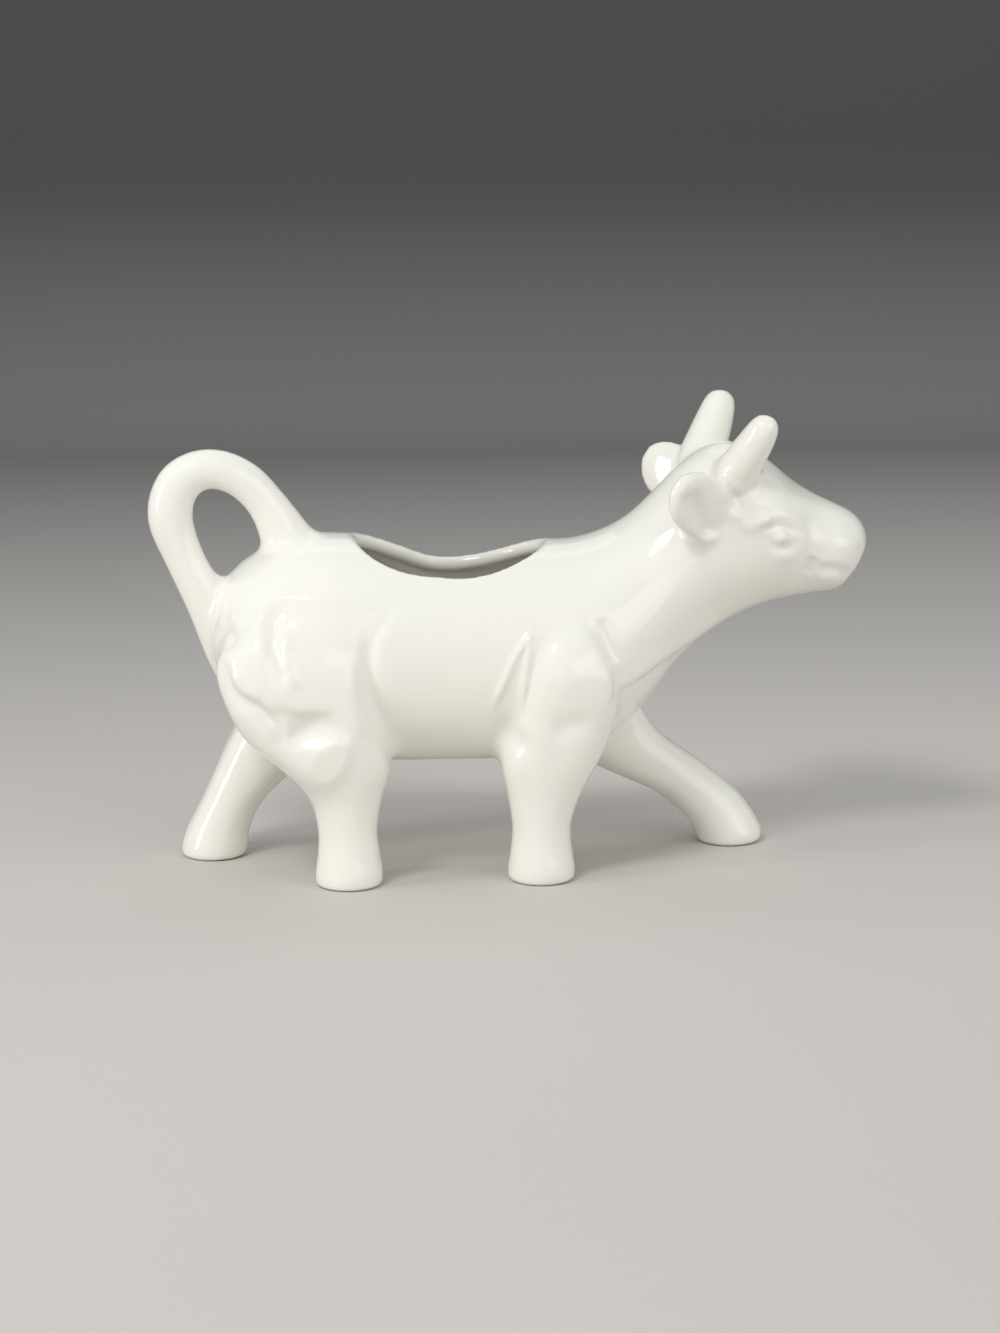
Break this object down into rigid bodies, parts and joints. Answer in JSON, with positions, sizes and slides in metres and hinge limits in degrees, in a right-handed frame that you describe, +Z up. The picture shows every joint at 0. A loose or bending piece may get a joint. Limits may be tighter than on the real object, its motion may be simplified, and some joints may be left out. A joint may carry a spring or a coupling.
{
  "type": "cow creamer",
  "caption": "Glazed porcelain cream jug shaped as a walking cow, filled through its open back and poured through the mouth, with a looped tail as the handle.",
  "frame": {"origin": "on the table, under the middle of the jug's length and width", "axes": "+X from the tail to the muzzle, +Y to the cow's left, +Z up"},
  "size_m": [0.1662, 0.0534, 0.1091],
  "materials": {
    "glazed_porcelain": "clear gloss glaze over white porcelain"
  },
  "bodies": {
    "root": {"barrel_shell": "glazed_porcelain", "neck_and_head_shell": "glazed_porcelain", "foreleg_left": "glazed_porcelain", "foreleg_right": "glazed_porcelain", "hindleg_left": "glazed_porcelain", "hindleg_right": "glazed_porcelain", "tail_handle": "glazed_porcelain", "horn_left": "glazed_porcelain", "horn_right": "glazed_porcelain", "ear_left": "glazed_porcelain", "ear_right": "glazed_porcelain"}
  },
  "joints": []
}
